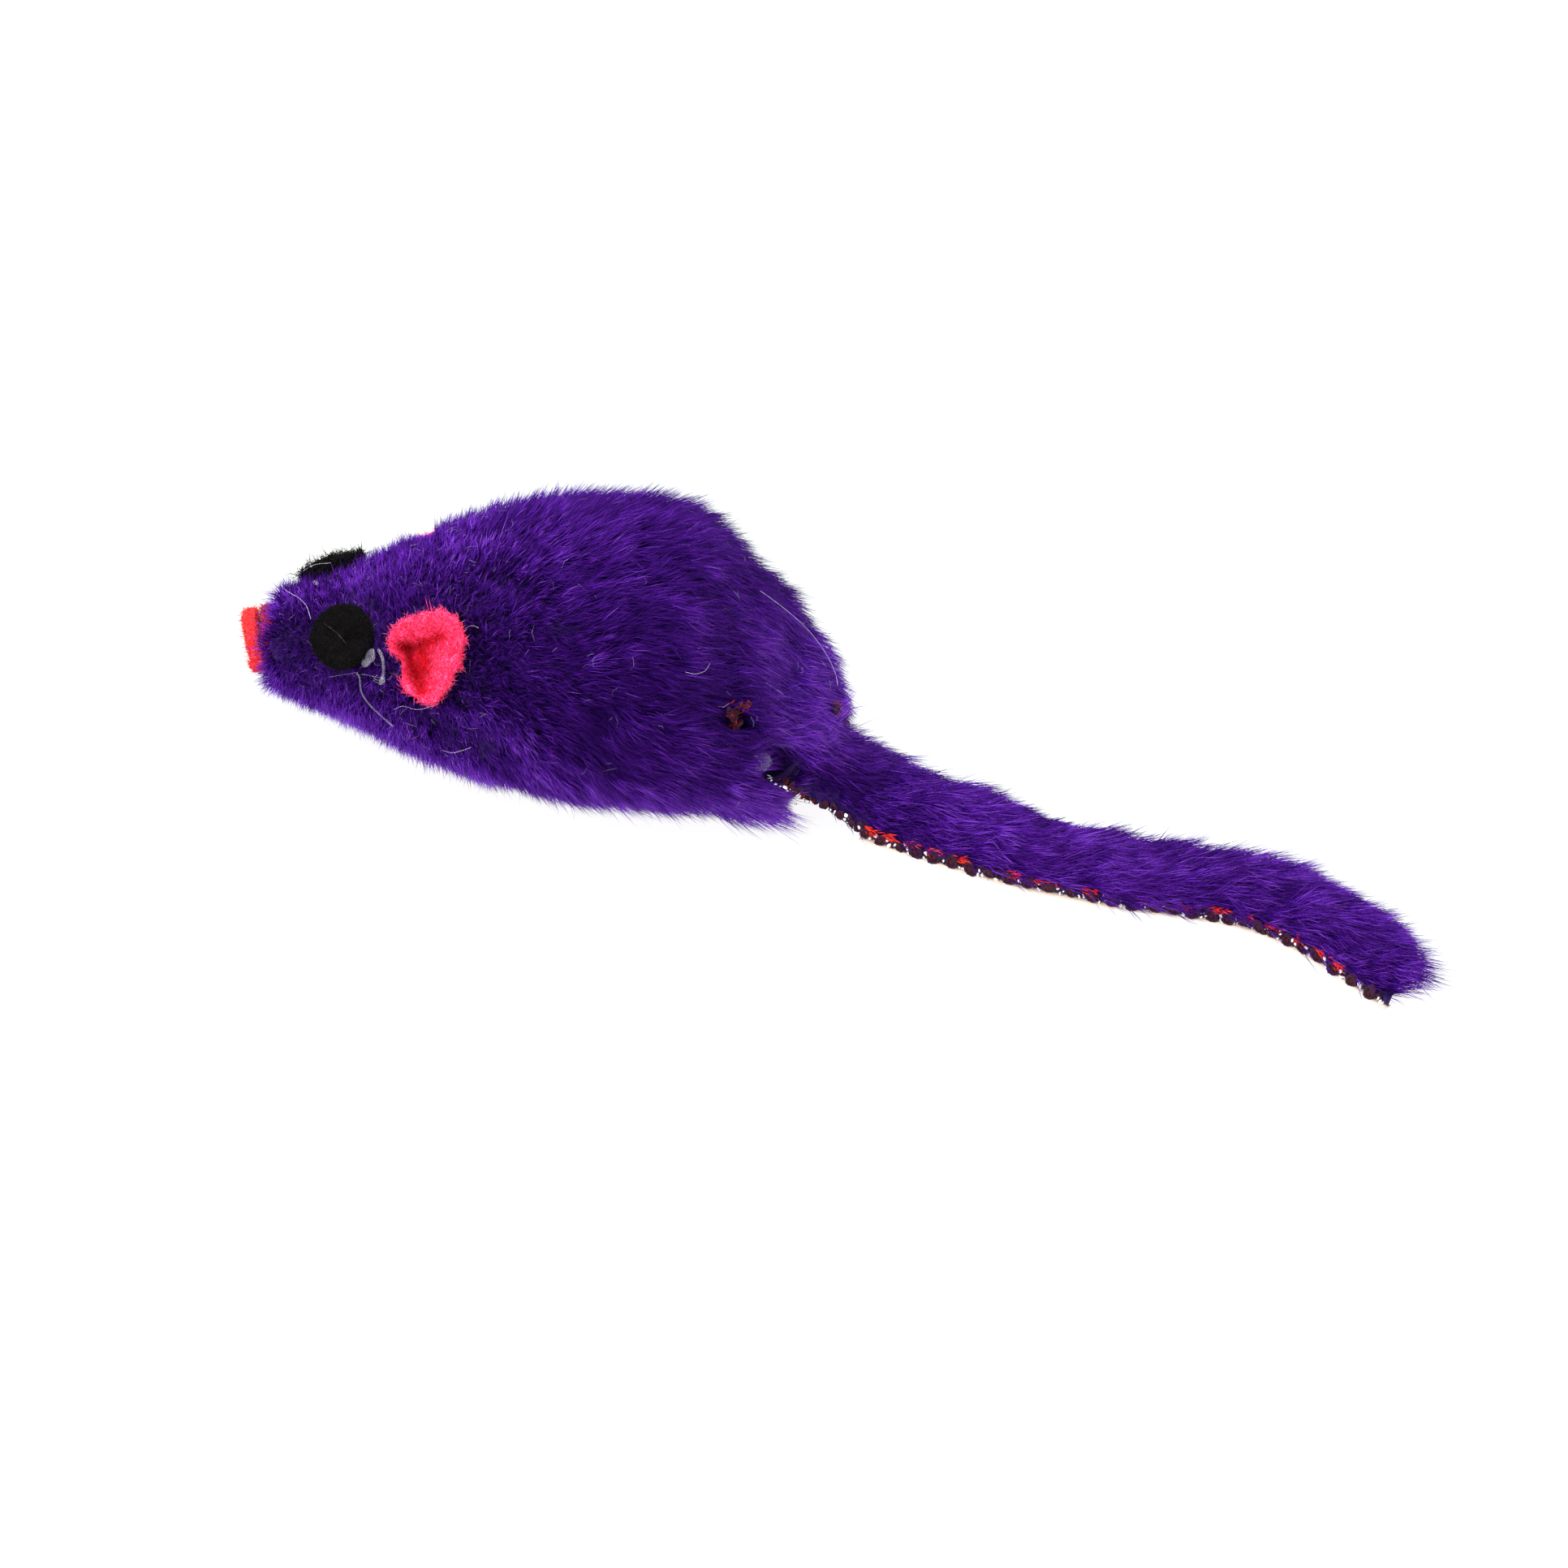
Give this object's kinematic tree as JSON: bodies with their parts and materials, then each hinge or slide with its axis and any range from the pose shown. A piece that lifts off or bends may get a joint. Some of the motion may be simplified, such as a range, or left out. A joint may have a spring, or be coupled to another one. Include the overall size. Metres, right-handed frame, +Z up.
{
  "type": "plush toy mouse",
  "caption": "Plush mouse for cats: fur cover over a hollow rattle core, felt eyes, ears and nose, and a jointed strip of fur for a tail.",
  "frame": {"origin": "on the flat of the belly, where the mouse rests", "axes": "-X is the way the nose points, +X runs to the tail, +Y is the mouse's right side, +Z up"},
  "size_m": [0.1196, 0.0438, 0.0297],
  "materials": {
    "purple_fur": "deep purple faux fur, laid pile",
    "black_felt": "matt fuzzy felt",
    "pink_felt": "matt fuzzy felt",
    "red_felt": "matt fuzzy felt",
    "clear_glue": "clear, shiny",
    "core_plastic": "moulded, satin",
    "bead_plastic": "glossy"
  },
  "bodies": {
    "mouse_body": {"fur_body_cover": "purple_fur", "core_upper_shell": "core_plastic", "core_lower_shell": "core_plastic", "left_eye": "black_felt", "right_eye": "black_felt", "left_eye_glue": "clear_glue", "right_eye_glue": "clear_glue", "left_ear": "pink_felt", "right_ear": "pink_felt", "left_ear_glue": "clear_glue", "right_ear_glue": "clear_glue", "nose_front_disc": "red_felt", "nose_rear_disc": "red_felt", "nose_glue": "clear_glue", "belly_seam_glue": "clear_glue", "cheek_glue_string": "clear_glue", "cheek_glue_thread": "clear_glue", "tail_glue": "clear_glue", "tail_root": "purple_fur"},
    "tail_base_body": {"tail_base": "purple_fur"},
    "tail_fore_body": {"tail_fore": "purple_fur"},
    "tail_aft_body": {"tail_aft": "purple_fur"},
    "tail_tip_body": {"tail_tip": "purple_fur"},
    "bead_left": {"rattle_bead_1": "bead_plastic"},
    "bead_middle": {"rattle_bead_2": "bead_plastic"},
    "bead_right": {"rattle_bead_3": "bead_plastic"}
  },
  "joints": [
    {"name": "tail_swing", "type": "hinge", "parent": "mouse_body", "child": "tail_base_body", "pos_m": [0.03801, -0.00698, 0], "axis": [0, 0, 1], "range_deg": [-35, 35]},
    {"name": "tail_lift", "type": "hinge", "parent": "tail_base_body", "child": "tail_fore_body", "pos_m": [0.04866, -0.01057, 0.0024], "axis": [-0.2828, -0.9592, 0], "range_deg": [0, 55]},
    {"name": "tail_bend", "type": "hinge", "parent": "tail_fore_body", "child": "tail_aft_body", "pos_m": [0.06492, -0.01277, 0], "axis": [0, 0, 1], "range_deg": [-25, 25]},
    {"name": "tail_curl", "type": "hinge", "parent": "tail_aft_body", "child": "tail_tip_body", "pos_m": [0.07549, -0.01638, 0.0024], "axis": [-0.4434, -0.8963, 0], "range_deg": [0, 60]},
    {"name": "bead_left_roll", "type": "slide", "parent": "mouse_body", "child": "bead_left", "axis": [1, 0, 0], "range_m": [-0.004, 0.004]},
    {"name": "bead_middle_roll", "type": "slide", "parent": "mouse_body", "child": "bead_middle", "axis": [1, 0, 0], "range_m": [-0.004, 0.004]},
    {"name": "bead_right_roll", "type": "slide", "parent": "mouse_body", "child": "bead_right", "axis": [1, 0, 0], "range_m": [-0.004, 0.004]}
  ]
}
